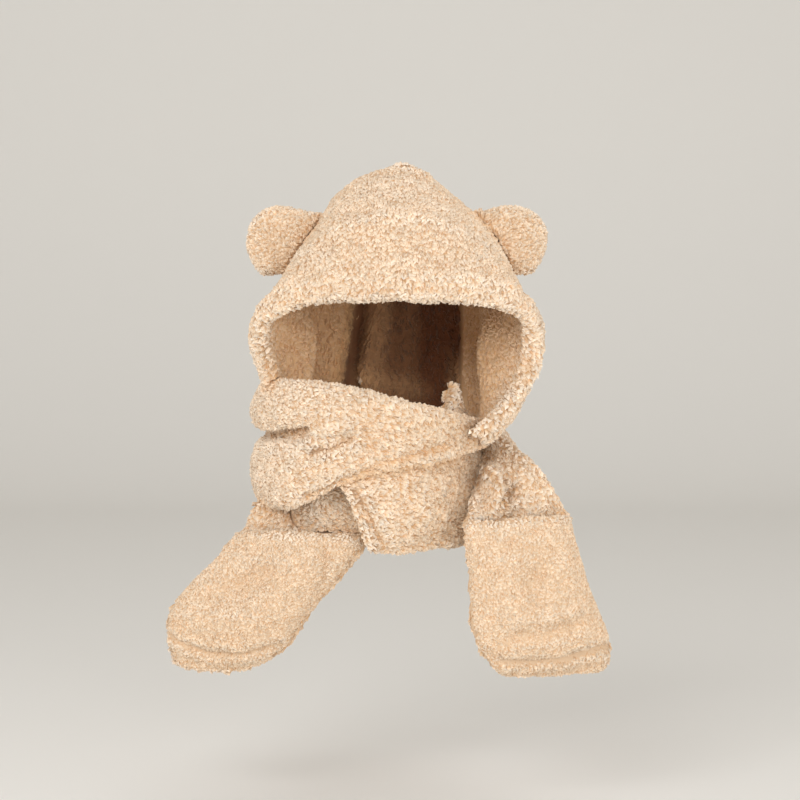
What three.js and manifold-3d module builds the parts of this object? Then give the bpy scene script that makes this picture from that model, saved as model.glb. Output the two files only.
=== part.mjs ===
// A bear-eared hood scarf of cream plush: a hood with a pointed crown and a rolled front hem, two
// stuffed ears, two turns of scarf wound round the neck, and two hanging ends with hand pockets.
// Millimetres, +Z up, the face looks along -Y. The origin is where the crown of the head touches
// the inside of the hood. Left and right are as seen from the front.
import * as THREE from "three";
import { mergeVertices } from "three/addons/utils/BufferGeometryUtils.js";
import Module from "manifold-3d";

const wasm = await Module();
wasm.setup();

// Hood
const HOOD_HALF_WIDTH = 134; // middle of the head to the middle of the front hem
const HOOD_DEPTH = 230; // brow to the back of the head
const HOOD_DROP = 240; // crown of the head to the hood's lower edge
const HOOD_WALL = 11; // two layers of plush
const HEM_THICKNESS = 23; // the turned and rolled front hem
const HEM_WIDTH = 24; // front edge to where the roll has ended
const HEM_INSIDE = 0.36; // share of the roll that stands inside the hood's middle

// Ears
const EAR_WIDTH = 71; // along the seam
const EAR_HEIGHT = 82; // out from the hood, with the part that the seam pulls flat
const EAR_THICKNESS = 38;
const EAR_OUT = 0.672 * HOOD_HALF_WIDTH; // middle of the head to the middle of each ear's seam
const EAR_FORE = 0.07 * HOOD_DEPTH; // how far the ears stand before the crown
const EAR_LOW = 0.275 * HOOD_DROP; // how far the middle of the seam lies below the crown
const EAR_LEAN = 58; // degrees that the ears lean out from upright
const EAR_NARROWS = 0.1; // share of its width that an ear loses towards the seam
const EAR_SWEEP = 0.31 * EAR_WIDTH; // how far the seam runs on towards the crown
const EAR_DISH = 0.22; // how hollow its front is, as a share of its half thickness
const EAR_SQUARE = 0.1; // how much fuller than an ellipse its sides are
const EAR_RISE = 0.3; // middle of the ear above its seam, as a share of its height

// Scarf turns round the neck
const NECK_RADIUS = 62;
const NECK_BACK = 10; // how far the neck's middle lies behind the crown
const SCARF_THICKNESS = 25; // the outer turn, slack and full
const UNDER_THICKNESS = 19; // the turn under it, pressed flatter

// Hanging ends and their pockets
const POCKET_HALF_WIDTH = 69;
const POCKET_LENGTH = 156; // mouth to the end of the scarf
const POCKET_FILL = 28; // room for a hand, front panel to back panel
const PANEL_THICKNESS = 12;
const DRAPE_RUN = 1.774 * NECK_RADIUS; // neck to pocket mouth, front to back

const GAP = 0.5; // clearance where two pieces press on each other
const FAIRING = 0.2; // how far a face may move where small facets are merged

// Value of one column of a table between its rows, by a smooth curve through them.
function column(rows, places, key, at) {
  let k = 1;
  while (k < rows.length - 1 && places[k] < at) {
    k++;
  }
  const slope = (n) => {
    const a = Math.max(n - 1, 0);
    const b = Math.min(n + 1, rows.length - 1);
    return (rows[b][key] - rows[a][key]) / (places[b] - places[a]);
  };
  const span = places[k] - places[k - 1];
  const t = THREE.MathUtils.clamp((at - places[k - 1]) / span, 0, 1);
  const rest = 1 - t;
  return (
    rest * rest * (1 + 2 * t) * rows[k - 1][key] +
    t * t * (3 - 2 * t) * rows[k][key] +
    span * t * rest * (rest * slope(k - 1) - t * slope(k))
  );
}

// All columns of a table at one place, as an object.
function rowAt(rows, places, at) {
  return Object.fromEntries(
    Object.keys(rows[0]).map((key) => [key, column(rows, places, key, at)]),
  );
}

// Places from 0 to 1 for a sheet's grid: close together over the rounded edges, even between.
function spread(count, startEdge, endEdge) {
  const steps = [0, 0.16, 0.55, 1];
  const inner = count - 2 * (steps.length - 1);
  const places = steps.map((s) => s * startEdge);
  for (let k = 1; k < inner; k++) {
    places.push(startEdge + ((1 - startEdge - endEdge) * k) / inner);
  }
  return [...places, ...steps.map((s) => 1 - s * endEdge).reverse()];
}

// How full a rounded edge is at a place, 0 at the edge and 1 past it.
function fullness(at, startEdge, endEdge) {
  const side = (x) => Math.sqrt(1 - (1 - Math.min(Math.max(x, 0), 1)) ** 2);
  return side(at / startEdge) * side((1 - at) / endEdge);
}

// A smooth bump of height 1 round a place.
function bump(distance, reach) {
  return Math.exp(-((distance / reach) ** 2));
}

// The shortest way between two turns, in degrees.
function turnBetween(a, b) {
  return THREE.MathUtils.euclideanModulo(a - b + 180, 360) - 180;
}

// Unit normals of a grid of points.
function normalsOf(grid) {
  const last = grid.length - 1;
  const end = grid[0].length - 1;
  return grid.map((row, i) =>
    row.map((_, j) => {
      const along = new THREE.Vector3().subVectors(
        grid[Math.min(i + 1, last)][j],
        grid[Math.max(i - 1, 0)][j],
      );
      const across = new THREE.Vector3().subVectors(
        row[Math.min(j + 1, end)],
        row[Math.max(j - 1, 0)],
      );
      return along.cross(across).normalize();
    }),
  );
}

// Moves each point of a grid along its normal.
function pushed(grid, rise) {
  const normals = normalsOf(grid);
  return grid.map((row, i) =>
    row.map((p, j) => p.clone().addScaledVector(normals[i][j], rise(i, j))),
  );
}

// A closed padded sheet round a grid of middle points. Its two faces meet along the grid's rim.
// grow is added all round, for the room that a neighbour has to leave free.
function padded(grid, half, grow = 0) {
  const rows = grid.length;
  const cols = grid[0].length;
  const onRim = (i, j) => i === 0 || j === 0 || i === rows - 1 || j === cols - 1;
  const inward = (k, count) => THREE.MathUtils.clamp(k, 1, count - 2);
  const middle = grid.map((row, i) =>
    row.map((p, j) => {
      if (!onRim(i, j)) {
        return p;
      }
      const away = new THREE.Vector3().subVectors(p, grid[inward(i, rows)][inward(j, cols)]);
      return p.clone().addScaledVector(away.normalize(), grow);
    }),
  );
  const normals = normalsOf(grid);
  const points = [];
  const faces = [1, -1].map((sign) =>
    middle.map((row, i) =>
      row.map((p, j) => {
        const depth = onRim(i, j) ? 0 : half(i, j, sign) + grow;
        const moved = p.clone().addScaledVector(normals[i][j], sign * depth);
        points.push(moved.x, moved.y, moved.z);
        return points.length / 3 - 1;
      }),
    ),
  );
  const index = [];
  faces.forEach((face, back) => {
    for (let i = 0; i < rows - 1; i++) {
      for (let j = 0; j < cols - 1; j++) {
        const [a, b, c, d] = [face[i][j], face[i + 1][j], face[i + 1][j + 1], face[i][j + 1]];
        const pair = (i + j) % 2 ? [a, b, c, a, c, d] : [a, b, d, b, c, d];
        index.push(...(back ? pair.reverse() : pair));
      }
    }
  });
  const geometry = new THREE.BufferGeometry();
  geometry.setAttribute("position", new THREE.Float32BufferAttribute(points, 3));
  geometry.setIndex(index);
  return geometry;
}

// Turns a closed mesh's faces round if they point inwards.
function faceOut(geometry) {
  const place = geometry.attributes.position;
  const index = geometry.index.array;
  const [a, b, c] = [new THREE.Vector3(), new THREE.Vector3(), new THREE.Vector3()];
  let volume = 0;
  for (let k = 0; k < index.length; k += 3) {
    a.fromBufferAttribute(place, index[k]);
    b.fromBufferAttribute(place, index[k + 1]);
    c.fromBufferAttribute(place, index[k + 2]);
    volume += a.dot(b.cross(c));
  }
  if (volume < 0) {
    for (let k = 0; k < index.length; k += 3) {
      [index[k + 1], index[k + 2]] = [index[k + 2], index[k + 1]];
    }
  }
  return geometry;
}

function solidOf(geometry) {
  const bare = faceOut(geometry.clone());
  bare.deleteAttribute("normal");
  bare.deleteAttribute("uv");
  const merged = mergeVertices(bare, 1e-3);
  return new wasm.Manifold(
    new wasm.Mesh({
      numProp: 3,
      vertProperties: merged.attributes.position.array,
      triVerts: new Uint32Array(merged.index.array),
    }),
  );
}

// The largest body that is left of a piece when the pieces that press on it are cut away.
function clearOf(solid, neighbours) {
  const cut = neighbours.reduce((left, other) => left.subtract(other), solid);
  return cut.decompose().sort((a, b) => b.volume() - a.volume())[0];
}

function geometryOf(solid) {
  const mesh = solid.simplify(FAIRING).getMesh();
  const geometry = new THREE.BufferGeometry();
  const stride = mesh.numProp;
  const points = [];
  for (let k = 0; k < mesh.numVert; k++) {
    points.push(...mesh.vertProperties.slice(k * stride, k * stride + 3));
  }
  geometry.setAttribute("position", new THREE.Float32BufferAttribute(points, 3));
  geometry.setIndex([...mesh.triVerts]);
  geometry.computeVertexNormals();
  return geometry;
}

// Hood. Each row is one arch of the hood, from the front hem over the crown to the nape. An arch
// runs from one jaw corner up over the head and down to the other. Depths (Y) are shares of
// HOOD_DEPTH, heights (Z) of HOOD_DROP and widths of HOOD_HALF_WIDTH. crown and jaw say how square
// the arch is above and below its widest place: 1 is a straight slope, 2 round, more is boxy. tuck is
// how far back the left jaw corner is pulled, under the scarf, and side how far the top leans to
// the right.
const ARCHES = [
  { topY: -0.48, topZ: -0.468, wide: 0.925, wideY: -0.385, wideZ: -0.645, crown: 3.5, jaw: 1.6,
    footX: 0.5, footY: -0.43, footZ: -0.97, tuck: 0.235, side: 0 },
  { topY: -0.512, topZ: -0.4, wide: 0.965, wideY: -0.335, wideZ: -0.61, crown: 3.0, jaw: 1.7,
    footX: 0.575, footY: -0.44, footZ: -1.0, tuck: 0.225, side: 0 },
  { topY: -0.505, topZ: -0.305, wide: 0.955, wideY: -0.26, wideZ: -0.57, crown: 2.5, jaw: 1.8,
    footX: 0.6, footY: -0.42, footZ: -1.02, tuck: 0.2, side: 0.005 },
  { topY: -0.43, topZ: -0.15, wide: 0.88, wideY: -0.17, wideZ: -0.5, crown: 2.05, jaw: 1.9,
    footX: 0.6, footY: -0.38, footZ: -1.03, tuck: 0.15, side: 0.015 },
  { topY: -0.27, topZ: -0.012, wide: 0.845, wideY: -0.06, wideZ: -0.45, crown: 1.7, jaw: 2,
    footX: 0.59, footY: -0.34, footZ: -1.03, tuck: 0.09, side: 0.035 },
  { topY: -0.04, topZ: 0.085, wide: 0.835, wideY: 0.02, wideZ: -0.43, crown: 1.5, jaw: 2,
    footX: 0.585, footY: -0.3, footZ: -1.03, tuck: 0.045, side: 0.045 },
  { topY: 0.14, topZ: 0.035, wide: 0.82, wideY: 0.09, wideZ: -0.44, crown: 1.7, jaw: 2,
    footX: 0.58, footY: -0.27, footZ: -1.03, tuck: 0.015, side: 0.04 },
  { topY: 0.37, topZ: -0.15, wide: 0.79, wideY: 0.16, wideZ: -0.52, crown: 2, jaw: 2,
    footX: 0.575, footY: -0.23, footZ: -1.03, tuck: 0, side: 0.02 },
  { topY: 0.49, topZ: -0.43, wide: 0.745, wideY: 0.155, wideZ: -0.66, crown: 2.1, jaw: 2,
    footX: 0.57, footY: -0.2, footZ: -1.03, tuck: 0, side: 0 },
  { topY: 0.465, topZ: -0.74, wide: 0.69, wideY: 0.09, wideZ: -0.82, crown: 2.1, jaw: 2,
    footX: 0.565, footY: -0.17, footZ: -1.03, tuck: 0, side: 0 },
  { topY: 0.39, topZ: -0.98, wide: 0.65, wideY: 0.0, wideZ: -0.94, crown: 2.2, jaw: 2,
    footX: 0.56, footY: -0.15, footZ: -1.03, tuck: 0, side: 0 },
];

// Folds and dents of the hood. around is the place along an arch from the left corner (0) to the
// right (1), back from the front hem (0) to the nape (1), and rise a share of HOOD_WALL.
const HOOD_FOLDS = [
  { around: 0.5, back: 0.36, aroundReach: 0.022, backReach: 0.03, rise: 0.55 }, // the crown's point
  { around: 0.42, back: 0.34, aroundReach: 0.05, backReach: 0.14, rise: 0.7 }, // fuller left shoulder
  { around: 0.585, back: 0.35, aroundReach: 0.05, backReach: 0.15, rise: -0.75 }, // flatter right one
  { around: 0.5, back: 0.09, aroundReach: 0.3, backReach: 0.03, rise: -0.3 }, // crease behind the hem
  { around: 0.17, back: 0.48, aroundReach: 0.09, backReach: 0.2, rise: -1.9 }, // hollow at the left cheek
  { around: 0.83, back: 0.48, aroundReach: 0.09, backReach: 0.2, rise: -1.9 }, // hollow at the right cheek
  { around: 0.335, back: 0.84, aroundReach: 0.026, backReach: 0.24, rise: -0.95 }, // gathers down the nape
  { around: 0.405, back: 0.84, aroundReach: 0.022, backReach: 0.24, rise: 0.8 },
  { around: 0.46, back: 0.84, aroundReach: 0.022, backReach: 0.22, rise: -0.95 },
  { around: 0.53, back: 0.86, aroundReach: 0.028, backReach: 0.2, rise: 0.6 },
  { around: 0.6, back: 0.84, aroundReach: 0.026, backReach: 0.24, rise: -0.8 },
  { around: 0.67, back: 0.85, aroundReach: 0.024, backReach: 0.22, rise: 0.7 },
];

const HOOD_ACROSS = 36; // grid steps along an arch
const HOOD_BACKWARD = 22; // grid steps from the hem to the nape
const HEM_ROWS = [0, 0.13, 0.5, 1, 1.5, 2]; // grid rows over the rolled hem, in its half thicknesses
const ARCH_SAMPLES = 240; // points on an arch when its length is measured

// Points along one arch, from x = -footX over the top to x = footX, evenly spaced by length.
function archPoints(arch, places) {
  const wide = arch.wide * HOOD_HALF_WIDTH;
  const footX = arch.footX * HOOD_HALF_WIDTH;
  const corner = Math.acos((footX / wide) ** (arch.jaw / 2));
  const lower = Math.sin(corner) ** (2 / arch.jaw);
  const at = (angle) => {
    const size = Math.abs(angle);
    let across;
    let y;
    let z;
    if (size <= Math.PI / 2) {
      const up = Math.max(Math.cos(size), 0) ** (2 / arch.crown);
      across = Math.sin(size) ** (2 / arch.crown);
      y = arch.wideY + (arch.topY - arch.wideY) * up;
      z = arch.wideZ + (arch.topZ - arch.wideZ) * up;
    } else {
      const down = Math.sin(size - Math.PI / 2) ** (2 / arch.jaw) / lower;
      across = Math.cos(size - Math.PI / 2) ** (2 / arch.jaw);
      const tucked = angle < 0 ? arch.tuck * down * (2 - down) : 0;
      y = arch.wideY + (arch.footY - arch.wideY) * down + tucked;
      z = arch.wideZ + (arch.footZ - arch.wideZ) * down;
    }
    const x = Math.sign(angle) * across * wide + arch.side * Math.max(Math.cos(angle), 0) * HOOD_DEPTH;
    return new THREE.Vector3(x, y * HOOD_DEPTH, z * HOOD_DROP);
  };
  const fine = ARCH_SAMPLES;
  const reach = Math.PI / 2 + corner;
  const samples = Array.from({ length: fine + 1 }, (_, k) => at(reach * ((2 * k) / fine - 1)));
  const lengths = [0];
  for (let k = 1; k <= fine; k++) {
    lengths.push(lengths[k - 1] + samples[k].distanceTo(samples[k - 1]));
  }
  return places.map((place) => {
    const target = place * lengths[fine];
    let k = 1;
    while (k < fine && lengths[k] < target) {
      k++;
    }
    const share = (target - lengths[k - 1]) / (lengths[k] - lengths[k - 1]);
    return samples[k - 1].clone().lerp(samples[k], share);
  });
}

// Length of the hood's ridge from the hem to each arch, as shares of the whole.
function ridgePlaces() {
  const lengths = [0];
  for (let k = 1; k < ARCHES.length; k++) {
    const dy = (ARCHES[k].topY - ARCHES[k - 1].topY) * HOOD_DEPTH;
    const dz = (ARCHES[k].topZ - ARCHES[k - 1].topZ) * HOOD_DROP;
    lengths.push(lengths[k - 1] + Math.hypot(dy, dz));
  }
  const whole = lengths[lengths.length - 1];
  return { whole, places: lengths.map((length) => length / whole) };
}

// The hood's solid, grown where it is the room that a neighbour has to leave free.
function hoodSolid(grow = 0) {
  const { whole, places } = ridgePlaces();
  const hemEdge = HEM_THICKNESS / 2 / whole;
  const napeEdge = HOOD_WALL / 2 / whole;
  const footEdge = HOOD_WALL / 2 / whole;
  const across = spread(HOOD_ACROSS, footEdge, footEdge);
  const hemRows = HEM_ROWS.map((s) => s * hemEdge);
  const even = HOOD_BACKWARD - hemRows.length;
  const back = [...hemRows];
  const from = hemRows[hemRows.length - 1];
  for (let k = 1; k < even; k++) {
    back.push(from + ((1 - napeEdge - from) * k) / (even - 1));
  }
  back.push(1 - 0.3 * napeEdge, 1);
  let grid = back.map((b) => archPoints(rowAt(ARCHES, places, b), across));
  const foldAt = (i, j) =>
    HOOD_FOLDS.reduce(
      (sum, f) =>
        sum +
        f.rise *
          HOOD_WALL *
          bump(across[j] - f.around, f.aroundReach) *
          bump(back[i] - f.back, f.backReach),
      0,
    );
  // The grid's own normals point into the hood, so a rise is a move against them.
  grid = pushed(grid, (i, j) => -foldAt(i, j));
  const half = (i, j, inside) => {
    const roll = 1 - THREE.MathUtils.smoothstep(back[i] * whole, HEM_WIDTH * 0.8, HEM_WIDTH * 1.7);
    const hem = HEM_THICKNESS * (inside > 0 ? HEM_INSIDE : 1 - HEM_INSIDE);
    const thick = THREE.MathUtils.lerp(HOOD_WALL / 2, hem, roll);
    return thick * fullness(back[i], hemEdge, napeEdge) * fullness(across[j], footEdge, footEdge);
  };
  return solidOf(padded(grid, half, grow));
}

// Ears. Each is a stuffed round pad, narrower at the seam, pressed flat on the hood there.
function earSolid(side) {
  const ball = new THREE.SphereGeometry(1, 18, 12);
  const place = ball.attributes.position;
  for (let k = 0; k < place.count; k++) {
    const p = new THREE.Vector3().fromBufferAttribute(place, k);
    const up = p.z;
    const narrow = 1 - EAR_NARROWS * THREE.MathUtils.smoothstep(-up, 0.1, 1.1);
    const dish = EAR_DISH * bump(Math.hypot(p.x, up - 0.15), 0.5) * (p.y < 0 ? 1 : 0.3);
    const sweep = EAR_SWEEP * THREE.MathUtils.smoothstep(-up, -0.1, 1);
    const square = 1 + EAR_SQUARE * (1 - Math.abs(up)) * Math.abs(p.x);
    place.setXYZ(
      k,
      (p.x * narrow * square * EAR_WIDTH) / 2 - side * sweep,
      (p.y * (1 - dish) * EAR_THICKNESS) / 2,
      (up * EAR_HEIGHT) / 2,
    );
  }
  const lean = new THREE.Matrix4().makeRotationY(side * THREE.MathUtils.degToRad(EAR_LEAN));
  const seat = new THREE.Vector3(side * EAR_OUT, -EAR_FORE, -EAR_LOW);
  const rise = new THREE.Vector3(0, 0, EAR_HEIGHT * EAR_RISE).applyMatrix4(lean);
  ball.applyMatrix4(lean).translate(...seat.add(rise).toArray());
  return solidOf(ball);
}

// Scarf turns. Each row is one station round the neck: turn in degrees from the front, minus to
// the left, reach from the neck's middle as a share of NECK_RADIUS, the upper and lower
// edges as shares of HOOD_DROP below the crown, lean how much further out the upper edge lies, and
// slant how many degrees the lower edge lies ahead.
const OUTER_TURN = [
  { turn: 54, reach: 1.66, top: 0.945, low: 1.05, lean: 0.0, slant: 0 },
  { turn: 32, reach: 1.8, top: 0.9, low: 1.075, lean: 0.0, slant: 0 },
  { turn: 12, reach: 2.02, top: 0.862, low: 1.1, lean: 0.0, slant: 0 },
  { turn: -6, reach: 2.15, top: 0.818, low: 1.12, lean: 0.0, slant: 0 },
  { turn: -23, reach: 2.21, top: 0.778, low: 1.175, lean: 0.02, slant: 0 },
  { turn: -41, reach: 2.22, top: 0.765, low: 1.275, lean: 0.02, slant: 0 },
  { turn: -60, reach: 2.17, top: 0.765, low: 1.305, lean: 0.0, slant: 0 },
  { turn: -82, reach: 2.07, top: 0.79, low: 1.305, lean: -0.03, slant: 0 },
  { turn: -112, reach: 1.95, top: 0.85, low: 1.32, lean: -0.14, slant: 0 },
  { turn: -146, reach: 1.84, top: 0.92, low: 1.35, lean: -0.22, slant: 0 },
  { turn: -180, reach: 1.78, top: 0.95, low: 1.37, lean: -0.22, slant: 0 },
  { turn: -214, reach: 1.72, top: 0.955, low: 1.33, lean: -0.2, slant: 0 },
  { turn: -244, reach: 1.68, top: 0.965, low: 1.27, lean: -0.12, slant: 0 },
  { turn: -268, reach: 1.62, top: 0.98, low: 1.22, lean: -0.04, slant: 0 },
];
const UNDER_TURN = [
  { turn: -30, reach: 1.95, top: 1.1, low: 1.44, lean: 0.02, slant: 18 },
  { turn: -20, reach: 1.97, top: 1.07, low: 1.458, lean: 0.0, slant: 11 },
  { turn: -4, reach: 1.96, top: 1.05, low: 1.462, lean: 0.0, slant: 3 },
  { turn: 16, reach: 1.84, top: 1.02, low: 1.46, lean: 0.0, slant: 0 },
  { turn: 30, reach: 1.6, top: 0.9, low: 1.455, lean: -0.2, slant: 0 },
  { turn: 40, reach: 1.46, top: 0.815, low: 1.45, lean: -0.3, slant: 0 },
  { turn: 56, reach: 1.32, top: 0.9, low: 1.43, lean: -0.16, slant: 0 },
  { turn: 86, reach: 1.24, top: 1.08, low: 1.42, lean: -0.02, slant: 0 },
  { turn: 128, reach: 1.3, top: 1.13, low: 1.42, lean: 0.0, slant: 0 },
  { turn: 180, reach: 1.4, top: 1.13, low: 1.43, lean: 0.0, slant: 0 },
  { turn: 232, reach: 1.5, top: 1.1, low: 1.41, lean: 0.0, slant: 0 },
  { turn: 270, reach: 1.7, top: 1.09, low: 1.39, lean: 0.0, slant: 0 },
  { turn: 292, reach: 1.85, top: 1.1, low: 1.388, lean: 0.0, slant: 0 },
  { turn: 308, reach: 1.83, top: 1.1, low: 1.39, lean: 0.0, slant: 0 },
  { turn: 322, reach: 1.66, top: 1.11, low: 1.392, lean: 0.0, slant: 0 },
  { turn: 342, reach: 1.46, top: 1.12, low: 1.392, lean: 0.0, slant: 0 },
];

// Folds of the turns: where round the neck, down from the upper edge (0) to the lower (1), and
// rise outwards as a share of NECK_RADIUS.
const OUTER_FOLDS = [
  { turn: -84, down: 0.27, turnReach: 60, downReach: 0.12, rise: 0.15 },
  { turn: -92, down: 0.44, turnReach: 44, downReach: 0.06, rise: -0.34 },
  { turn: -76, down: 0.7, turnReach: 60, downReach: 0.2, rise: 0.14 },
  { turn: -62, down: 0.42, turnReach: 14, downReach: 0.05, rise: -0.12 },
  { turn: -40, down: 0.41, turnReach: 15, downReach: 0.05, rise: -0.2 },
  { turn: -33, down: 0.3, turnReach: 13, downReach: 0.08, rise: 0.1 },
  { turn: -2, down: 0.7, turnReach: 26, downReach: 0.09, rise: -0.1 },
  { turn: -34, down: 0.78, turnReach: 16, downReach: 0.07, rise: -0.08 },
  { turn: -150, down: 0.4, turnReach: 26, downReach: 0.1, rise: -0.13 },
  { turn: -205, down: 0.62, turnReach: 30, downReach: 0.1, rise: -0.12 },
];
const UNDER_FOLDS = [
  { turn: 2, down: 0.5, turnReach: 30, downReach: 0.3, rise: 0.07 },
  { turn: 2, down: 1, turnReach: 36, downReach: 0.16, rise: -0.13 },
  { turn: -14, down: 0.8, turnReach: 12, downReach: 0.08, rise: -0.04 },
  { turn: 24, down: 0.82, turnReach: 22, downReach: 0.06, rise: -0.07 },
  { turn: 30, down: 0.3, turnReach: 14, downReach: 0.07, rise: -0.05 },
];

// The places of a table's stations along the turn, and its length at the neck's reach.
function turnPlaces(rows) {
  const lengths = [0];
  for (let k = 1; k < rows.length; k++) {
    const swing = THREE.MathUtils.degToRad(Math.abs(rows[k].turn - rows[k - 1].turn));
    const reach = ((rows[k].reach + rows[k - 1].reach) / 2) * NECK_RADIUS;
    lengths.push(lengths[k - 1] + swing * reach);
  }
  const whole = lengths[lengths.length - 1];
  return { whole, places: lengths.map((length) => length / whole) };
}

function turnSolid(rows, folds, thickness, steps, grow = 0) {
  const { whole, places } = turnPlaces(rows);
  const width = (rows[4].low - rows[4].top) * HOOD_DROP;
  const endEdge = thickness / 2 / whole;
  const sideEdge = (thickness * 0.55) / width;
  const along = spread(steps.along, endEdge, endEdge);
  const down = spread(steps.down, sideEdge, sideEdge);
  const grid = along.map((a) => {
    const row = rowAt(rows, places, a);
    return down.map((d) => {
      const turn = row.turn + row.slant * d;
      const fold = folds.reduce(
        (sum, f) =>
          sum +
          f.rise *
            bump(turnBetween(turn, f.turn), f.turnReach) *
            bump(d - f.down, f.downReach),
        0,
      );
      const reach = (row.reach + row.lean * (0.5 - d) + fold) * NECK_RADIUS;
      const angle = THREE.MathUtils.degToRad(turn);
      return new THREE.Vector3(
        reach * Math.sin(angle),
        NECK_BACK - reach * Math.cos(angle),
        -THREE.MathUtils.lerp(row.top, row.low, d) * HOOD_DROP,
      );
    });
  });
  const full = (i, j) =>
    fullness(along[i], endEdge, endEdge) * fullness(down[j], sideEdge, sideEdge);
  return solidOf(padded(grid, (i, j) => (thickness / 2) * full(i, j), grow));
}

// Hanging ends. mouth is the middle of the pocket's mouth from the crown, end how far the scarf's
// end lies from there for each millimetre of POCKET_LENGTH, and out the way to the outer edge.
// drape rows lead from the neck to the mouth: inward, back and rise are shares of DRAPE_RUN from
// the mouth, half the half width as a share of POCKET_HALF_WIDTH, and twist the degrees that the
// cloth turns on itself. folds lie at a place along and across the end, with a rise outwards as a
// share of PANEL_THICKNESS. panel rows lead from the mouth to the end, with the inner and outer
// edges as shares of POCKET_HALF_WIDTH.
const RIGHT_END = {
  side: 1,
  start: SCARF_THICKNESS,
  folds: [
    { along: 0.72, across: -0.72, alongReach: 0.5, acrossReach: 0.2, rise: 0.8 },
    { along: 0.74, across: -0.3, alongReach: 0.34, acrossReach: 0.14, rise: -1.5 },
    { along: 0.66, across: 0.06, alongReach: 0.4, acrossReach: 0.17, rise: 0.8 },
    { along: 0.7, across: 0.42, alongReach: 0.26, acrossReach: 0.14, rise: -0.8 },
  ],
  mouth: new THREE.Vector3(1.823 * NECK_RADIUS, -1.581 * NECK_RADIUS, -1.3125 * HOOD_DROP),
  end: new THREE.Vector3(0.2, -0.06, -0.98),
  out: new THREE.Vector3(0.97, 0.24, 0.02),
  drape: [
    { inward: 0.14, back: 1.0, rise: 0.47, half: 0.41, twist: 86 },
    { inward: 0.17, back: 0.75, rise: 0.45, half: 0.39, twist: 72 },
    { inward: 0.15, back: 0.45, rise: 0.38, half: 0.43, twist: 48 },
    { inward: 0.08, back: 0.19, rise: 0.27, half: 0.55, twist: 25 },
    { inward: 0.02, back: 0.05, rise: 0.12, half: 0.68, twist: 8 },
  ],
  panel: [
    { down: 0, inner: 0.76, outer: 0.77 },
    { down: 0.22, inner: 0.81, outer: 0.78 },
    { down: 0.48, inner: 0.88, outer: 0.86 },
    { down: 0.72, inner: 0.94, outer: 0.99 },
    { down: 0.86, inner: 0.87, outer: 1.03 },
    { down: 0.95, inner: 0.74, outer: 0.95 },
    { down: 1, inner: 0.58, outer: 0.8 },
  ],
};
const LEFT_END = {
  side: -1,
  start: UNDER_THICKNESS,
  folds: [
    { along: 0.7, across: -0.5, alongReach: 0.4, acrossReach: 0.2, rise: -0.5 },
    { along: 0.7, across: -0.05, alongReach: 0.4, acrossReach: 0.2, rise: 0.5 },
    { along: 0.7, across: 0.42, alongReach: 0.4, acrossReach: 0.18, rise: -0.6 },
  ],
  mouth: new THREE.Vector3(-1.516 * NECK_RADIUS, -1.032 * NECK_RADIUS, -1.4 * HOOD_DROP),
  end: new THREE.Vector3(-0.54, -0.08, -0.86),
  out: new THREE.Vector3(-0.965, 0.26, -0.02),
  drape: [
    { inward: 0.3, back: 0.44, rise: 0.36, half: 0.44, twist: 52 },
    { inward: 0.24, back: 0.33, rise: 0.29, half: 0.52, twist: 42 },
    { inward: 0.16, back: 0.2, rise: 0.2, half: 0.65, twist: 26 },
    { inward: 0.07, back: 0.08, rise: 0.1, half: 0.82, twist: 10 },
  ],
  panel: [
    { down: 0, inner: 1.02, outer: 0.9 },
    { down: 0.155, inner: 1.06, outer: 0.98 },
    { down: 0.32, inner: 0.98, outer: 1.08 },
    { down: 0.45, inner: 0.9, outer: 1.2 },
    { down: 0.58, inner: 0.88, outer: 1.22 },
    { down: 0.8, inner: 0.84, outer: 0.96 },
    { down: 0.91, inner: 0.66, outer: 0.74 },
    { down: 1, inner: 0.46, outer: 0.5 },
  ],
};

const END_DRAPE_STEPS = 8;
const END_PANEL_STEPS = 9;
const END_ACROSS = 12;
const END_EDGE = 0.075; // share of an end's width that its rounded edge takes
const POCKET_BELLY = 0.22; // share of POCKET_FILL by which the back panel stands back
const POCKET_SEAT = 0.72; // front panel off the back one at the seams, as a share of PANEL_THICKNESS
const POCKET_DIMPLE = 0.3; // dent in the middle of the front panel, as a share of POCKET_FILL
const POCKET_LIP = 0.14; // share of the length where the lower seam draws the panel in

// The facing direction of a hanging end, out of the pocket's front.
function facing(end) {
  return new THREE.Vector3().crossVectors(end.end, end.out).multiplyScalar(end.side).normalize();
}

// A point on the back panel. across runs from the inner edge (-1) to the outer (1).
function panelPoint(end, down, across) {
  const places = end.panel.map((row) => row.down);
  const row = rowAt(end.panel, places, down);
  const half = (across < 0 ? row.inner : row.outer) * POCKET_HALF_WIDTH;
  return end.mouth
    .clone()
    .addScaledVector(end.end, down * POCKET_LENGTH)
    .addScaledVector(end.out, across * half);
}

// How much of its fill the pocket has: none at its sides and end, most in the middle.
function pillow(down, across) {
  const sides = (1 - Math.abs(across) ** 2.6) ** 0.7;
  const length = Math.sqrt(THREE.MathUtils.clamp((1 - down) / 0.3, 0, 1));
  const mouth = 0.62 + 0.38 * THREE.MathUtils.smoothstep(down, 0, 0.35);
  return sides * length * mouth;
}

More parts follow.
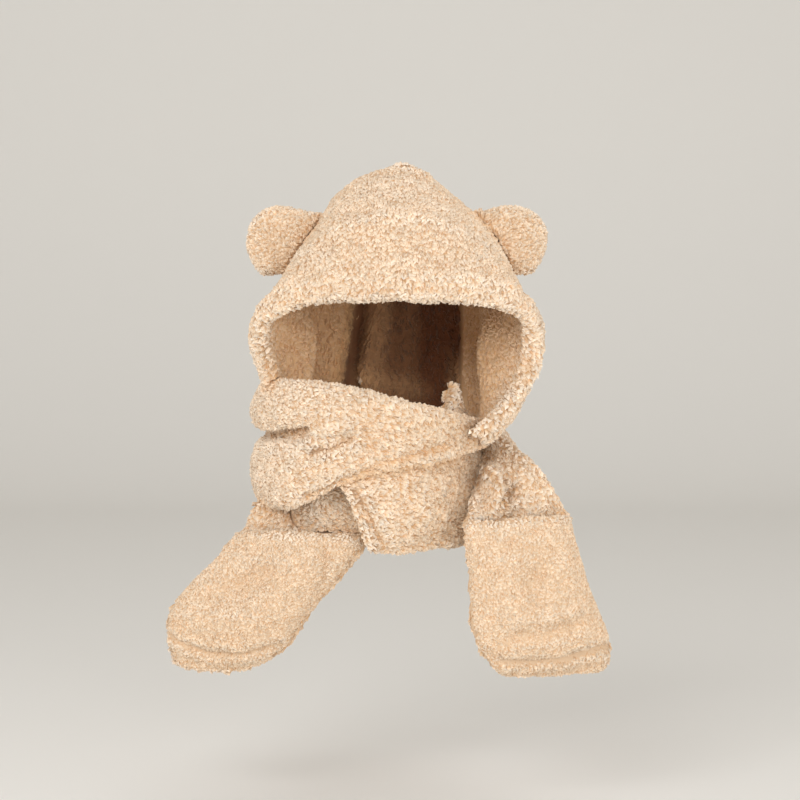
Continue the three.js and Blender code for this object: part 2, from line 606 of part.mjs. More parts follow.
// A point where the scarf drapes from the neck to the pocket's mouth. along runs from 0 to 1.
function drapePoint(end, along, across) {
  const last = end.panel[0];
  const mouthRow = { inward: 0, back: 0, rise: 0, half: (last.inner + last.outer) / 2, twist: 0 };
  const rows = [...end.drape, mouthRow];
  const places = rows.map((_, k) => k / (rows.length - 1));
  const centre = (at) => {
    const row = rowAt(rows, places, at);
    return new THREE.Vector3(-end.side * row.inward, row.back, row.rise)
      .multiplyScalar(DRAPE_RUN)
      .add(end.mouth);
  };
  const step = 0.02;
  const way = centre(Math.min(along + step, 1)).sub(centre(Math.max(along - step, 0)));
  if (along > 0.999) {
    way.copy(end.end);
  }
  way.normalize();
  const flat = end.out.clone().addScaledVector(way, -end.out.dot(way)).normalize();
  const lift = new THREE.Vector3().crossVectors(way, flat).multiplyScalar(end.side);
  const row = rowAt(rows, places, along);
  const twist = THREE.MathUtils.degToRad(row.twist);
  const outer = flat.multiplyScalar(Math.cos(twist)).addScaledVector(lift, Math.sin(twist));
  return centre(along).addScaledVector(outer, across * row.half * POCKET_HALF_WIDTH);
}

// The scarf's hanging end, from the neck to the last seam: the pocket's back.
function endSolid(end, grow = 0) {
  const acrossPlaces = spread(END_ACROSS, END_EDGE, END_EDGE).map((a) => 2 * a - 1);
  const front = facing(end);
  const rows = [];
  for (let k = 0; k < END_DRAPE_STEPS; k++) {
    const along = k === 0 ? 0 : (k + 0.2) / (END_DRAPE_STEPS + 0.2);
    rows.push({
      along,
      full: k === 0 ? 0 : 1,
      points: acrossPlaces.map((a) => drapePoint(end, along, a)),
    });
  }
  for (let k = 0; k <= END_PANEL_STEPS; k++) {
    const down = k / END_PANEL_STEPS;
    const belly = POCKET_BELLY * POCKET_FILL;
    rows.push({
      along: 1 + down,
      full: k === END_PANEL_STEPS ? 0 : 1,
      points: acrossPlaces.map((a) =>
        panelPoint(end, down, a).addScaledVector(front, -belly * pillow(down, a) * Math.min(down * 5, 1)),
      ),
    });
  }
  const gathers = (i, j) =>
    end.folds.reduce(
      (sum, f) =>
        sum -
        end.side *
          f.rise *
          PANEL_THICKNESS *
          bump(rows[i].along - f.along, f.alongReach) *
          bump(acrossPlaces[j] - f.across, f.acrossReach),
      0,
    );
  const grid = pushed(rows.map((row) => row.points), gathers);
  const thick = (i) => THREE.MathUtils.lerp(end.start, PANEL_THICKNESS, Math.min(rows[i].along * 1.3, 1));
  const half = (i, j) =>
    (thick(i) / 2) * rows[i].full * fullness((acrossPlaces[j] + 1) / 2, END_EDGE, END_EDGE);
  return solidOf(padded(grid, half, grow));
}

// The pocket's front panel, standing off the end by the hand's room.
function pocketSolid(end) {
  const acrossPlaces = spread(END_ACROSS, END_EDGE, END_EDGE).map((a) => 2 * a - 1);
  const edge = PANEL_THICKNESS / 2 / POCKET_LENGTH;
  const downPlaces = spread(END_PANEL_STEPS + 2, edge, edge);
  const front = facing(end);
  const seat = PANEL_THICKNESS * POCKET_SEAT;
  const grid = downPlaces.map((down) =>
    acrossPlaces.map((a) => {
      const room = POCKET_FILL * pillow(Math.min(down / (1 - POCKET_LIP), 1), a);
      const dip = POCKET_DIMPLE * POCKET_FILL * bump(down - 0.42, 0.16) * bump(a - 0.05, 0.4);
      const seam = (1 - Math.abs(a) ** 6) * (1 - THREE.MathUtils.smoothstep(down, 0.86, 1));
      return panelPoint(end, down, a * 0.985).addScaledVector(front, seat * seam + room - dip);
    }),
  );
  const half = (i, j) =>
    (PANEL_THICKNESS / 2) *
    fullness(downPlaces[i], edge, edge) *
    fullness((acrossPlaces[j] + 1) / 2, END_EDGE, END_EDGE);
  return solidOf(padded(grid, half));
}

const part = new THREE.Group();

function addPiece(name, solid, colour) {
  const material = new THREE.MeshStandardMaterial({ color: colour, roughness: 0.95, metalness: 0 });
  const mesh = new THREE.Mesh(geometryOf(solid), material);
  mesh.name = name;
  part.add(mesh);
}

const CREAM = 0xe3c8a6;
const SAND = 0xdcbd98;
const TURN_STEPS = { along: 38, down: 13 };

const outerTurn = (grow) => turnSolid(OUTER_TURN, OUTER_FOLDS, SCARF_THICKNESS, TURN_STEPS, grow);
const underTurn = (grow) => turnSolid(UNDER_TURN, UNDER_FOLDS, UNDER_THICKNESS, TURN_STEPS, grow);
const hoodRoom = hoodSolid(GAP);
const turnRoom = [outerTurn(GAP), underTurn(GAP)];

addPiece("hood", clearOf(hoodSolid(), [turnRoom[0]]), CREAM);
addPiece("left_ear", clearOf(earSolid(-1), [hoodRoom]), SAND);
addPiece("right_ear", clearOf(earSolid(1), [hoodRoom]), SAND);
addPiece("outer_turn", outerTurn(), CREAM);
addPiece("under_turn", clearOf(underTurn(), [turnRoom[0], hoodRoom]), SAND);
for (const [side, end] of Object.entries({ right: RIGHT_END, left: LEFT_END })) {
  addPiece(`${side}_end`, clearOf(endSolid(end), [...turnRoom, hoodRoom]), SAND);
  addPiece(`${side}_pocket`, clearOf(pocketSolid(end), [endSolid(end, GAP), ...turnRoom]), CREAM);
}

export default part;
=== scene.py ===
import math

import bpy
import numpy as np
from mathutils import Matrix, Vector
from mathutils.bvhtree import BVHTree


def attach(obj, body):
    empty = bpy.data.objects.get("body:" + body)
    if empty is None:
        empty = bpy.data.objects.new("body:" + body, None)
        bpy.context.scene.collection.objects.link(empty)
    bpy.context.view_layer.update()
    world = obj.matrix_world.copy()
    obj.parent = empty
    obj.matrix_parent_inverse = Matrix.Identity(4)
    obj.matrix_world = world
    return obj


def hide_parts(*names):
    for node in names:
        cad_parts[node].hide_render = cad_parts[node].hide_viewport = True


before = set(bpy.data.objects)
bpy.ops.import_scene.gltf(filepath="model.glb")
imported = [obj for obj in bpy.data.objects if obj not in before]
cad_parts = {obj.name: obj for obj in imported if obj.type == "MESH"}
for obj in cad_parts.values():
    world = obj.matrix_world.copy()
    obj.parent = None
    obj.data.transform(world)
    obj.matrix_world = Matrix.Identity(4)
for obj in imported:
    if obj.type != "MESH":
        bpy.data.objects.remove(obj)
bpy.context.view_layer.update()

# Hood. Two layers of sherpa plush back to back, cut in two halves, seamed over the crown, the
# edge round the face turned back into a thick roll. It hangs from the crown of the head.

def linear(hex_colour):
    """An sRGB hex colour as the linear RGBA that a shader socket takes."""
    parts = [int(hex_colour[i:i + 2], 16) / 255 for i in (1, 3, 5)]
    return [c / 12.92 if c <= 0.04045 else ((c + 0.055) / 1.055) ** 2.4 for c in parts] + [1.0]


def add(tree, kind, settings=None, **links):
    """A shader node with its settings. An input, named or as i and its number, takes a value or the
    socket that feeds it."""
    node = tree.nodes.new(kind)
    for key, value in (settings or {}).items():
        setattr(node, key, value)
    for key, value in links.items():
        numbered = key[0] == "i" and key[1:].isdigit()
        socket = node.inputs[int(key[1:]) if numbered else key.replace("_", " ")]
        if isinstance(value, bpy.types.NodeSocket):
            tree.links.new(value, socket)
        else:
            socket.default_value = value
    return node


def plush(name, crevice, body, tip, side, lining):
    """Sherpa plush: cream curls with a painted highlight that makes their tips pale, and painted warm ochre
    shade down between them. Where the inner value says it lies in shade, painted shade takes it first to a
    warm tan and then, over the nape, to the deep brown of the lining in shade. Dull, with a soft bloom."""
    material = bpy.data.materials.new(name)
    material.use_nodes = True
    tree = material.node_tree
    tree.nodes.clear()
    reach = add(tree, "ShaderNodeAttribute", {"attribute_name": "reach"}).outputs["Fac"]
    tone = add(tree, "ShaderNodeAttribute", {"attribute_name": "tone"}).outputs["Fac"]
    inner = add(tree, "ShaderNodeAttribute", {"attribute_name": "inner"}).outputs["Fac"]
    soft, colours = {"interpolation_type": "SMOOTHSTEP"}, {"data_type": "RGBA"}
    # Painted shade and highlight along each lock: warm ochre down at the root, pale at the tip
    low = add(tree, "ShaderNodeMapRange", soft, i0=reach, i1=0.0, i2=0.6)
    high = add(tree, "ShaderNodeMapRange", soft, i0=reach, i1=0.4, i2=1.0)
    curl = add(tree, "ShaderNodeMix", colours, i0=low.outputs[0], i6=linear(crevice), i7=linear(body))
    curl = add(tree, "ShaderNodeMix", colours, i0=high.outputs[0], i6=curl.outputs[2], i7=linear(tip))
    value = add(tree, "ShaderNodeMapRange", {}, i0=tone, i3=0.8, i4=1.12)
    curl = add(tree, "ShaderNodeHueSaturation", {}, Value=value.outputs[0], Color=curl.outputs[2])
    shade = curl.outputs[0]
    # Painted shade: the inner value takes the colour to the side colour, a warm tan, and then to the lining
    # colour, a deep brown
    for start, colour in ((0.0, side), (0.5, lining)):
        deep = add(tree, "ShaderNodeMapRange", {}, i0=inner, i1=start, i2=start + 0.5)
        mixed = add(tree, "ShaderNodeMix", colours, i0=deep.outputs[0], i6=shade, i7=linear(colour))
        shade = mixed.outputs[2]
    grain = add(tree, "ShaderNodeTexNoise", {}, Scale=900.0, Detail=2.0)
    bump = add(tree, "ShaderNodeBump", {}, Strength=0.3, Distance=0.0006, Height=grain.outputs[0])
    surface = add(tree, "ShaderNodeBsdfPrincipled", {}, Base_Color=shade, Roughness=0.9,
                  IOR=1.45, Metallic=0.0, Sheen_Weight=0.25, Sheen_Roughness=0.5,
                  Sheen_Tint=linear("#fff0dc"), Normal=bump.outputs[0])
    add(tree, "ShaderNodeOutputMaterial", {}, Surface=surface.outputs[0])
    return material


# Sherpa plush: cream curls, with a painted highlight that makes them pale at the tips and painted shade
# that makes them ochre down between them; its painted shade is a warm tan, then a deep brown
cream_plush = plush("cream_sherpa_plush", "#cf9f6c", "#ebd5ba", "#f6eadc", "#e2b888", "#6e4226")


def noise(points, size, seed):
    """Smooth noise from -1 to 1 at each point, its features about size across."""
    lattice = np.random.default_rng(seed).uniform(-1, 1, (32, 32, 32))
    place = points / size + 100
    cell = np.floor(place).astype(int)
    part = place - cell
    part = part * part * (3 - 2 * part)
    total = np.zeros(len(points))
    for corner in range(8):
        step = np.array([corner & 1, corner >> 1 & 1, corner >> 2 & 1])
        weight = np.prod(np.where(step, part, 1 - part), axis=1)
        total += weight * lattice[tuple(((cell + step) % 32).T)]
    return total


def unit(vectors):
    """The vectors made one long."""
    return vectors / np.maximum(np.linalg.norm(vectors, axis=1), 1e-12)[:, None]


def step_between(low, high, value):
    """0 below low, 1 above high and smooth between."""
    t = np.clip((value - low) / (high - low), 0, 1)
    return t * t * (3 - 2 * t)


def surface_of(mesh):
    """A mesh's points, triangles and point normals as arrays."""
    points = np.zeros(len(mesh.vertices) * 3)
    mesh.vertices.foreach_get("co", points)
    points = points.reshape(-1, 3)
    mesh.calc_loop_triangles()
    triangles = np.zeros(len(mesh.loop_triangles) * 3, int)
    mesh.loop_triangles.foreach_get("vertices", triangles)
    triangles = triangles.reshape(-1, 3)
    corners = points[triangles]
    across = np.cross(corners[:, 1] - corners[:, 0], corners[:, 2] - corners[:, 0])
    normals = np.zeros_like(points)
    for k in range(3):
        np.add.at(normals, triangles[:, k], across)
    return points, triangles, unit(normals)


def set_values(mesh, **values):
    """Values at the mesh's points for its material."""
    for name, value in values.items():
        mesh.attributes.new(name, "FLOAT", "POINT").data.foreach_set("value", np.asarray(value, np.float32))


# How far off another piece is still looked for
NEARBY = 0.012


def neighbours_of(node):
    """The surfaces of every other frame node."""
    points, faces = [], []
    for other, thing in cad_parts.items():
        if other != node:
            p, t, _ = surface_of(thing.data)
            faces.extend((t + len(points)).tolist())
            points.extend(p.tolist())
    return BVHTree.FromPolygons(points, faces)


def distance_to(tree, points):
    """How far each point lies from the surfaces in the tree, NEARBY at most."""
    return np.array([tree.find_nearest(Vector(p), NEARBY)[3] or NEARBY for p in points])


def cloth_form(name, node, voxel, tuck, shape=None, inner=None, rounding=6):
    """The cloth under the pile: the frame node with even faces and rounded edges, drawn in by tuck where no
    other piece presses on it. shape gives further shifts of its points, and inner how far each is painted
    in the hood's shade."""
    rough = bpy.data.objects.new(name + "_rough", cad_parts[node].data.copy())
    bpy.context.scene.collection.objects.link(rough)
    even = rough.modifiers.new("even", "REMESH")
    even.mode, even.voxel_size = "VOXEL", voxel
    smooth = rough.modifiers.new("smooth", "SMOOTH")
    smooth.factor, smooth.iterations = 0.5, rounding
    seen = rough.evaluated_get(bpy.context.evaluated_depsgraph_get())
    mesh = bpy.data.meshes.new_from_object(seen)
    bpy.data.objects.remove(rough)
    points, _, normals = surface_of(mesh)
    away = distance_to(neighbours_of(node), points)
    points = points - normals * (tuck * step_between(0.0005, 0.007, away))[:, None]
    if shape:
        points = points + shape(points, normals)
    mesh.vertices.foreach_set("co", points.ravel())
    mesh.polygons.foreach_set("use_smooth", np.ones(len(mesh.polygons), bool))
    mesh.update()
    # The cloth shows only down between the curls, so its colour is set part way to their ochre root and a
    # little darker, painted shade; inner adds the painted shade of the hood
    set_values(mesh, reach=np.full(len(points), 0.35), tone=np.full(len(points), 0.4),
               inner=np.zeros(len(points)) if inner is None else inner(points, normals))
    mesh.name = name
    mesh.materials.clear()
    mesh.materials.append(cream_plush)
    form = bpy.data.objects.new(name, mesh)
    bpy.context.scene.collection.objects.link(form)
    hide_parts(node)
    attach(form, "root")
    return form


# A lock of pile: two rings of three points and a tip, its root sunk a little into the cloth
LOCK_POINTS = 7
LOCK_SUNK = 0.0012

# Places tried to a cell of spacing, so that few cells stay bare
TRIES_TO_A_CELL = 7


def pile(form, name, node, spacing, length, width, lift, flow, most, seed,
         share=None, inner=None, press=0.004, stray=0.16, tuft=0.0065, gather=0.3, crease_shade=0.2):
    """Curls of pile on a form: closed three-sided locks that rise, lean with the flow and hook back down,
    one to a cell of spacing, and of those the share that share gives. Their tips gather into tufts, they
    stand out further where the cloth turns over at an edge, and crease_shade is how far they are painted
    towards shade beside another piece. At most `most` of them, and none pressed against another piece."""
    rng = np.random.default_rng(seed)
    points, triangles, normals = surface_of(form.data)
    corners = points[triangles]
    across = np.cross(corners[:, 1] - corners[:, 0], corners[:, 2] - corners[:, 0])
    area = np.linalg.norm(across, axis=1) / 2
    tries = int(area.sum() / spacing ** 2 * TRIES_TO_A_CELL)
    chosen = rng.choice(len(triangles), tries, p=area / area.sum())
    a, b = rng.random(tries), rng.random(tries)
    a, b = np.where(a + b > 1, 1 - a, a), np.where(a + b > 1, 1 - b, b)
    weight = np.stack([1 - a - b, a, b], axis=1)[:, :, None]
    roots = (corners[chosen] * weight).sum(1)
    up = unit((normals[triangles[chosen]] * weight).sum(1))
    _, first = np.unique(np.floor(roots / spacing + 50).astype(int), axis=0, return_index=True)
    roots, up = roots[first], up[first]
    if share is not None:
        kept = rng.random(len(roots)) < share(roots, up)
        roots, up = roots[kept], up[kept]
    tree = neighbours_of(node)
    free = np.array([tree.ray_cast(Vector(p), Vector(n), press)[0] is None for p, n in zip(roots, up)])
    roots, up = roots[free], up[free]
    if len(roots) > most:
        print(f"{name}: {len(roots)} curls cut to {most}")
        kept = rng.permutation(len(roots))[:most]
        roots, up = roots[kept], up[kept]
    count = len(roots)
    print(f"{name}: {count} curls")
    run = flow(roots, up)
    run = unit(run - up * (run * up).sum(1)[:, None])
    side = np.cross(up, run)
    turn = (noise(roots, 0.024, seed + 1) * 0.45 + noise(roots, 0.009, seed + 2) * 0.25
            + rng.normal(0, stray, count))[:, None]
    run, side = run * np.cos(turn) + side * np.sin(turn), side * np.cos(turn) - run * np.sin(turn)
    clump = noise(roots, 0.006, seed + 3)
    long = (length * rng.uniform(0.75, 1.25, count))[:, None]
    wide = (width * rng.uniform(0.8, 1.25, count))[:, None]
    edge = step_between(0.5, 0.9, np.abs(up[:, 2])) * (roots[:, 2] < -0.05)
    high = (lift * (1 + 0.22 * clump) * (1 + 0.7 * edge) * rng.uniform(0.75, 1.25, count))[:, None]
    wander = np.stack([noise(roots, 0.011, seed + 5 + k) for k in range(3)], axis=1)
    cell = np.floor((roots + 0.3 * tuft * wander) / tuft).astype(int)
    cell = np.unique(cell, axis=0, return_inverse=True)[1].ravel()
    middle = np.stack([np.bincount(cell, roots[:, k]) for k in range(3)], axis=1)
    middle = middle / np.bincount(cell)[:, None]
    pull = middle[cell] - roots
    pull = gather * (pull - up * (pull * up).sum(1)[:, None])
    sway = (rng.choice([-1.0, 1.0], count) * rng.uniform(0.15, 0.4, count))[:, None] * long
    spots = []
    for t in (0.0, 0.55, 1.0):
        forward = long * (t + 0.1 * math.sin(math.pi * t)) * 0.85
        raised = high * math.sin(math.pi * 0.84 * t) / math.sin(math.pi * 0.46) - LOCK_SUNK
        swept = sway * math.sin(math.pi * 1.3 * t) * 0.55
        spots.append(roots + run * forward + up * raised + side * swept + pull * t)
    rings, reach = [], []
    phase = rng.uniform(0, 2 * math.pi, count)[:, None]
    for k, (t, thick) in enumerate(((0.0, 0.85), (0.55, 1.0))):
        along = unit(spots[k + 1] - spots[max(k - 1, 0)])
        over = unit(np.cross(along, side))
        across = np.cross(over, along)
        for j in range(3):
            angle = phase + j * 2 * math.pi / 3
            out = across * np.cos(angle) + over * 1.05 * np.sin(angle)
            rings.append(spots[k] + wide * thick / 2 * out)
            reach.append(np.full(count, t))
    rings.append(spots[2])
    reach.append(np.ones(count))
    vertices = np.stack(rings, axis=1)
    corner = [(0, 2, 1)]
    for j in range(3):
        p, q = j, (j + 1) % 3
        corner += [(p, q, q + 3), (p, q + 3, p + 3), (p + 3, q + 3, 6)]
    faces = (np.arange(count)[:, None, None] * LOCK_POINTS + np.array(corner)[None]).reshape(-1, 3)
    mesh = bpy.data.meshes.new(name)
    mesh.vertices.add(count * LOCK_POINTS)
    mesh.vertices.foreach_set("co", vertices.ravel())
    mesh.loops.add(faces.size)
    mesh.loops.foreach_set("vertex_index", faces.ravel())
    mesh.polygons.add(len(faces))
    mesh.polygons.foreach_set("loop_start", np.arange(len(faces)) * 3)
    mesh.polygons.foreach_set("use_smooth", np.zeros(len(faces), bool))
    mesh.update(calc_edges=True)
    # Painted shade: curls beside another piece, and those the inner value marks, are coloured towards tan
    # and brown
    depth = crease_shade * step_between(0.009, 0.002, distance_to(tree, roots))
    depth = depth + (np.zeros(count) if inner is None else inner(roots, up))
    tone = np.clip(0.5 + 0.25 * clump + rng.normal(0, 0.16, count), 0, 1)
    set_values(mesh, reach=np.stack(reach, axis=1).ravel(), tone=np.repeat(tone, LOCK_POINTS),
               inner=np.repeat(depth, LOCK_POINTS))
    mesh.materials.append(cream_plush)
    curls = bpy.data.objects.new(name, mesh)
    bpy.context.scene.collection.objects.link(curls)
    curls.parent = form
    return curls


HOOD_MIDDLE = np.array([0.0, 0.0, -0.120])


def inside_hood(points, normals):
    """1 on the inside of the hood, 0 outside."""
    return step_between(-0.15, 0.15, -(unit(points - HOOD_MIDDLE) * normals).sum(1))


# How far the lining across the nape is painted in shade, from left to right: place, share
LINING_SHADE = [
    (-0.062, 0.4), (-0.052, 0.7), (-0.046, 0.97), (-0.038, 0.95), (-0.030, 0.8), (-0.014, 0.83),
    (-0.006, 0.93), (0.018, 0.93), (0.030, 1.0), (0.064, 1.0), (0.070, 0.4),
]


def leaning(points):
    """Place across the nape, measured along the lining's folds, which on the left lean inwards."""
    x, _, z = points.T
    return x - 0.16 * (z + 0.15) * step_between(0.02, -0.02, x)


def bunched(points):
    """Where the lining bunches up above the neck's back: 1 on the top of the bulge."""
    x, _, z = points.T
    middle = step_between(-0.055, -0.035, x) * step_between(0.045, 0.02, x)
    return np.exp(-((z + 0.198 + 0.2 * x) / 0.012) ** 2) * middle


def hood_shade(points, normals):
    """How far a place inside the hood is painted in shade: full over the nape, little at the sides."""
    x, _, z = points.T
    # Painted shade across the nape, painted lighter on top of the bunched lining as a painted highlight
    across = np.interp(leaning(points), *zip(*LINING_SHADE)) - 0.12 * bunched(points)
    # Painted light: a lit patch low on the right is painted lighter
    across -= 0.25 * step_between(-0.15, -0.20, z) * step_between(0.045, 0.062, x)
    deep = across * step_between(0.005, 0.04, points[:, 1])
    # A little painted shade on the hood's inner sides as well
    return inside_hood(points, normals) * np.maximum(deep, 0.34 * step_between(-0.10, -0.03, points[:, 1]))


# Upright folds of the lining over the nape: middle, half width to the left and to the right, rise
LINING_FOLDS = [
    (-0.060, 0.016, 0.007, 0.008),
    (-0.044, 0.006, 0.006, -0.003),
    (-0.024, 0.008, 0.012, 0.013),
    (0.008, 0.008, 0.012, 0.007),
    (0.046, 0.016, 0.012, 0.002),
    (0.078, 0.010, 0.030, 0.015),
]


def hood_folds(points, normals):
    """The lining gathers into upright folds over the nape, and the cloth is nowhere quite even."""
    x = leaning(points)
    back = inside_hood(points, normals) * step_between(0.0, 0.05, points[:, 1])
    height = step_between(-0.03, -0.08, points[:, 2])
    rise = sum(high * np.exp(-((x - at) / np.where(x < at, left, right)) ** 2)
               for at, left, right, high in LINING_FOLDS)
    rise = rise + 0.007 * bunched(points)
    lumps = 0.0018 * noise(points, 0.030, 11) + 0.0009 * noise(points, 0.012, 12)
    brow = step_between(-0.07, -0.1, points[:, 1]) * step_between(0.13, 0.08, np.abs(x))
    raised = 0.005 * brow * step_between(-0.15, -0.12, points[:, 2])
    return normals * (rise * back * height + lumps)[:, None] + raised[:, None] * [0, 0, 1]


PEAK = np.array([0.007, 0.010, 0.034])


def from_peak(points, normals):
    """Down and away from the hood's point."""
    return points - PEAK


def lining_share(points, normals):
    """The lining's pile is worn thin up in the crown, and the sides of the two deep folds are bare."""
    _, y, z = points.T
    x = leaning(points)
    folded = (y > 0.0) & (((x > -0.050) & (x < -0.038)) | ((x > 0.064) & (x < 0.070)))
    lining = inside_hood(points, normals) >= 0.5
    return lining * np.where(z > -0.07, 0.3, 1.0) * np.where(folded, 0.0, 1.0)


hood = cloth_form("hood_cloth", "hood", 0.0043, 0.0022, shape=hood_folds, inner=hood_shade)
hood_outside = pile(hood, "hood_pile_outside", "hood", 0.0027, 0.0092, 0.0037, 0.0014, from_peak,
                    17000, 1, inner=hood_shade,
                    share=lambda p, n: (inside_hood(p, n) < 0.15) & (p[:, 1] < 0.02))
hood_nape = pile(hood, "hood_pile_nape", "hood", 0.0040, 0.0106, 0.0054, 0.0014, from_peak, 6000, 2,
                 share=lambda p, n: (inside_hood(p, n) < 0.15) & (p[:, 1] >= 0.02), inner=hood_shade)
hood_inside = pile(hood, "hood_pile_inside", "hood", 0.0038, 0.0086, 0.0048, 0.0011, from_peak, 9000, 3,
                   share=lining_share, inner=hood_shade)

# Ears. Two round stuffed pads of the same plush, gathered at the root and sewn into the hood.
# Their pile stands out all round from the root.

for side, middle in (("left", -0.080), ("right", 0.080)):
    ear = cloth_form(f"{side}_ear_pad", f"{side}_ear", 0.003, 0.0022,
                     shape=lambda p, n: n * (0.0012 * noise(p, 0.02, 21))[:, None])
    root = np.array([middle, 0.004, -0.070])
    pile(ear, f"{side}_ear_pile", f"{side}_ear", 0.0025, 0.0074, 0.0033, 0.0013,
         lambda p, n: p - root, 1900, 22 if side == "left" else 23, press=0.001)

# Scarf turns. One long band of the same plush, doubled, wound twice round the neck: the outer
# turn lies over the chin and folds over the chest, the under turn shows below it.


def round_neck(points, normals):
    """Along the turn, a little downwards."""
    return np.stack([-points[:, 1], points[:, 0], np.full(len(points), -0.045)], axis=1)


def seen_side(points, normals):
    """All of the pile on the outside of the neck, and less of it on the side towards the neck."""
    outwards = unit(points * [1, 1, 0] - [0, 0.01, 0])
    return np.where((outwards * normals).sum(1) > -0.35, 1.0, 0.25)


def from_line(points, line):
    """How far each point lies, seen from the front, from a line given as x, z places."""
    place, near = points[:, [0, 2]], np.full(len(points), 1.0)
    for a, b in zip(np.array(line), np.array(line[1:])):
        t = np.clip((place - a) @ (b - a) / ((b - a) @ (b - a)), 0, 1)
        near = np.minimum(near, np.linalg.norm(place - a - t[:, None] * (b - a), axis=1))
    return near


# Creases and soft ridges, seen from the front: line of x, z places, half width, rise
OUTER_LINES = [
    ([(-0.146, -0.243), (-0.118, -0.239), (-0.090, -0.232)], 0.0055, -0.0110),
    ([(-0.084, -0.251), (-0.064, -0.246), (-0.046, -0.237)], 0.0045, -0.0085),
    ([(-0.064, -0.230), (-0.050, -0.226)], 0.0110, 0.0060),
    ([(-0.090, -0.296), (-0.062, -0.284), (-0.020, -0.261), (0.040, -0.247)], 0.0060, -0.0045),
]
UNDER_LINES = [
    ([(-0.043, -0.290), (-0.028, -0.316), (-0.012, -0.352)], 0.0045, -0.0060),
    ([(-0.010, -0.345), (0.070, -0.335)], 0.0050, -0.0030),
]


def seen_front(points, normals):
    """1 on the outer face of the scarf in front, 0 on its inner face and behind."""
    outwards = unit(points * [1, 1, 0] - [0, 0.01, 0])
    return step_between(-0.1, 0.4, (outwards * normals).sum(1)) * step_between(0.06, 0.01, points[:, 1])


def drawn(lines, lumps):
    """Presses the lines into the scarf's outer face; its cloth is nowhere quite even."""
    def shape(points, normals):
        rise = 0.0022 * noise(points, 0.034, lumps) + 0.001 * noise(points, 0.013, lumps + 1)
        for line, wide, high in lines:
            rise += seen_front(points, normals) * high * np.exp(-(from_line(points, line) / wide) ** 2)
        return normals * rise[:, None]
    return shape


def in_lines(lines):
    """How far a place in the pressed lines is painted in their shade."""
    def inner(points, normals):
        shade = np.zeros(len(points))
        for line, wide, high in lines:
            if high < -0.004:
                shade = np.maximum(shade, 0.18 * np.exp(-(from_line(points, line) / (0.6 * wide)) ** 2))
        return shade * seen_front(points, normals)
    return inner


def raised_corner(points, normals):
    """The under turn's top edge stands up in a corner behind the chin, at the right jaw."""
    turn = np.degrees(np.arctan2(points[:, 0], 0.010 - points[:, 1]))
    up = 0.012 * np.exp(-((turn - 31) / 17) ** 2) * step_between(-0.225, -0.200, points[:, 2])
    return drawn(UNDER_LINES, 41)(points, normals) + up[:, None] * [0, 0, 1]


outer = cloth_form("outer_turn_cloth", "outer_turn", 0.0038, 0.0022, shape=drawn(OUTER_LINES, 31))
pile(outer, "outer_turn_pile", "outer_turn", 0.0029, 0.0096, 0.0038, 0.0015, round_neck, 14500, 33,
     share=seen_side, inner=in_lines(OUTER_LINES))

under = cloth_form("under_turn_cloth", "under_turn", 0.0038, 0.0022, shape=raised_corner)
pile(under, "under_turn_pile", "under_turn", 0.0029, 0.0098, 0.0038, 0.0016, round_neck, 10000, 43,
     share=seen_side, inner=in_lines(UNDER_LINES))

# Hanging ends. The two ends of the band fall over the chest and each widens into the back of a
# hand pocket; the pocket's front panel is a padded patch sewn on at its sides and foot.


def downwards(points, normals):
    """Down the end, and out from the middle."""
    outwards = 0.5 * np.sign(points[:, 0])
    return np.stack([outwards, np.zeros(len(points)), -np.ones(len(points))], axis=1)


# Seams across the pockets' feet, seen from the front: x, z
RIGHT_SEAM = [(0.100, -0.449), (0.128, -0.4515), (0.164, -0.4485), (0.192, -0.4405), (0.206, -0.4395)]
LEFT_SEAM = [(-0.222, -0.434), (-0.205, -0.443), (-0.178, -0.450), (-0.150, -0.448), (-0.112, -0.438)]

# Dents and creases of the pocket panels, seen from the front: line of x, z places, half width, depth
RIGHT_DENTS = [
    ([(0.130, -0.366), (0.126, -0.392)], 0.016, 0.0080),
    ([(0.108, -0.425), (0.140, -0.424), (0.176, -0.412)], 0.008, 0.0050),
    ([(0.104, -0.338), (0.150, -0.344)], 0.008, 0.0040),
]
LEFT_DENTS = [
    ([(-0.125, -0.372), (-0.148, -0.382)], 0.014, 0.0090),
    ([(-0.165, -0.392), (-0.178, -0.396)], 0.012, 0.0050),
    ([(-0.066, -0.347), (-0.069, -0.374), (-0.081, -0.401), (-0.101, -0.441)], 0.0045, 0.0035),
]


# Folds of the right end above its pocket, as for the turns
RIGHT_FOLDS = [
    ([(0.111, -0.270), (0.110, -0.286), (0.102, -0.314)], 0.0055, -0.0100),
    ([(0.094, -0.268), (0.092, -0.310)], 0.0060, 0.0040),
]


def panel_shape(seam, dents, seed):
    """The panel is dented by the hand, drawn in at its seam and nowhere quite even."""
    def shape(points, normals):
        front = step_between(-0.2, 0.4, -normals[:, 1])
        away = from_line(points, seam)
        rise = 0.0018 * noise(points, 0.030, seed) + 0.0008 * noise(points, 0.012, seed + 1)
        swollen, sunk = np.exp(-((away - 0.008) / 0.004) ** 2), np.exp(-(away / 0.0026) ** 2)
        rise += front * (0.0015 * swollen - 0.0036 * sunk)
        dent = sum(deep * np.exp(-(from_line(points, line) / wide) ** 2) for line, wide, deep in dents)
        return normals * rise[:, None] + dent[:, None] * [0, 1, 0]
    return shape


def kept_front(points, normals):
    """All of the pile in front, none along the right pocket's seam, less on the inner face."""
    return np.where(normals[:, 1] < 0.3, 1.0, 0.3) * (from_line(points, RIGHT_SEAM) > 0.0011)


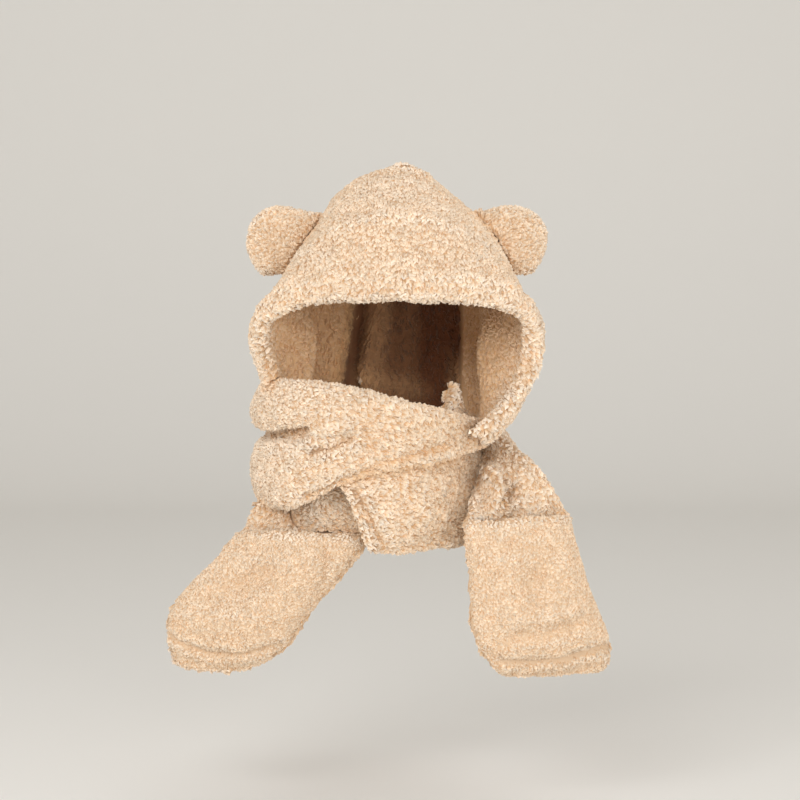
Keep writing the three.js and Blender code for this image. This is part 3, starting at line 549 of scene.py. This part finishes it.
for side, seam, dents, folds, seed in (
    ("right", RIGHT_SEAM, RIGHT_DENTS, RIGHT_FOLDS, 50),
    ("left", LEFT_SEAM, LEFT_DENTS, [], 60),
):
    end = cloth_form(f"{side}_end_cloth", f"{side}_end", 0.0036, 0.0022, shape=drawn(folds, seed))
    pile(end, f"{side}_end_pile", f"{side}_end", 0.0030, 0.0090, 0.0039, 0.0012, downwards, 6500,
         seed + 3, share=lambda p, n: np.where((n[:, 1] < -0.3) & (p[:, 2] < -0.36), 0.3, 1.0),
         inner=in_lines(folds), crease_shade=0.1)
    pocket = cloth_form(f"{side}_pocket_panel", f"{side}_pocket", 0.0032, 0.0020,
                        shape=panel_shape(seam, dents, seed + 2))
    pile(pocket, f"{side}_pocket_pile", f"{side}_pocket", 0.0022, 0.0062, 0.0029, 0.0010, downwards,
         8500, seed + 10, share=kept_front, tuft=0.0045, crease_shade=0.0)

# Studio. A plain pale floor that curves up into the backdrop, one broad soft light from the upper left, one
# as strong from the right, one from above and a low one at each side.


def matt(name, colour):
    """An even, dull finish."""
    material = bpy.data.materials.new(name)
    material.use_nodes = True
    surface = material.node_tree.nodes["Principled BSDF"]
    surface.inputs["Base Color"].default_value = linear(colour)
    surface.inputs["Roughness"].default_value = 0.9
    surface.inputs["IOR"].default_value = 1.45
    return material


FLOOR = -0.60
FLOOR_END = 2.4
CURVE = 0.8
profile = [(-4.0, FLOOR), (FLOOR_END, FLOOR)]
for a in np.linspace(0.1, math.pi / 2, 14):
    profile.append((FLOOR_END + CURVE * math.sin(a), FLOOR + CURVE * (1 - math.cos(a))))
profile.append((FLOOR_END + CURVE, 4.0))
vertices = [(x, y, z) for y, z in profile for x in (-5.0, 5.0)]
faces = [(2 * k, 2 * k + 1, 2 * k + 3, 2 * k + 2) for k in range(len(profile) - 1)]
ground = bpy.data.meshes.new("backdrop")
ground.from_pydata(vertices, [], faces)
ground.polygons.foreach_set("use_smooth", np.ones(len(ground.polygons), bool))
# Paper, pale and plain
ground.materials.append(matt("pale_paper", "#f0eeea"))
backdrop = bpy.data.objects.new("backdrop", ground)
bpy.context.scene.collection.objects.link(backdrop)

for name, place, wide, power in (
    ("key_light", (-1.1, -2.3, 1.3), 1.7, 35.0),
    ("fill_light", (0.9, -2.5, -0.1), 1.8, 35.0),
    ("top_light", (0.3, 0.6, 2.7), 2.0, 16.0),
    ("left_light", (-3.2, -1.3, 0.0), 2.0, 26.0),
    ("right_light", (3.2, -1.0, 0.2), 2.0, 18.0),
):
    lamp = bpy.data.lights.new(name, "AREA")
    lamp.size, lamp.energy = wide, power
    light = bpy.data.objects.new(name, lamp)
    light.location = place
    light.rotation_euler = (Vector((0, 0, -0.2)) - Vector(place)).to_track_quat("-Z", "Y").to_euler()
    bpy.context.scene.collection.objects.link(light)

world = bpy.data.worlds.new("studio")
world.use_nodes = True
world.node_tree.nodes["Background"].inputs[0].default_value = linear("#f5f0e8")
world.node_tree.nodes["Background"].inputs[1].default_value = 0.42
bpy.context.scene.world = world

lens = bpy.data.cameras.new("camera")
lens.lens, lens.sensor_width = 108.0, 36.0
lens.clip_start, lens.clip_end = 0.1, 20.0
camera = bpy.data.objects.new("camera", lens)
camera.location = (0.003, -2.3931, -0.0426)
camera.rotation_euler = (math.radians(86), 0, 0)
bpy.context.scene.collection.objects.link(camera)
bpy.context.scene.camera = camera
bpy.context.scene.view_settings.view_transform = "Standard"
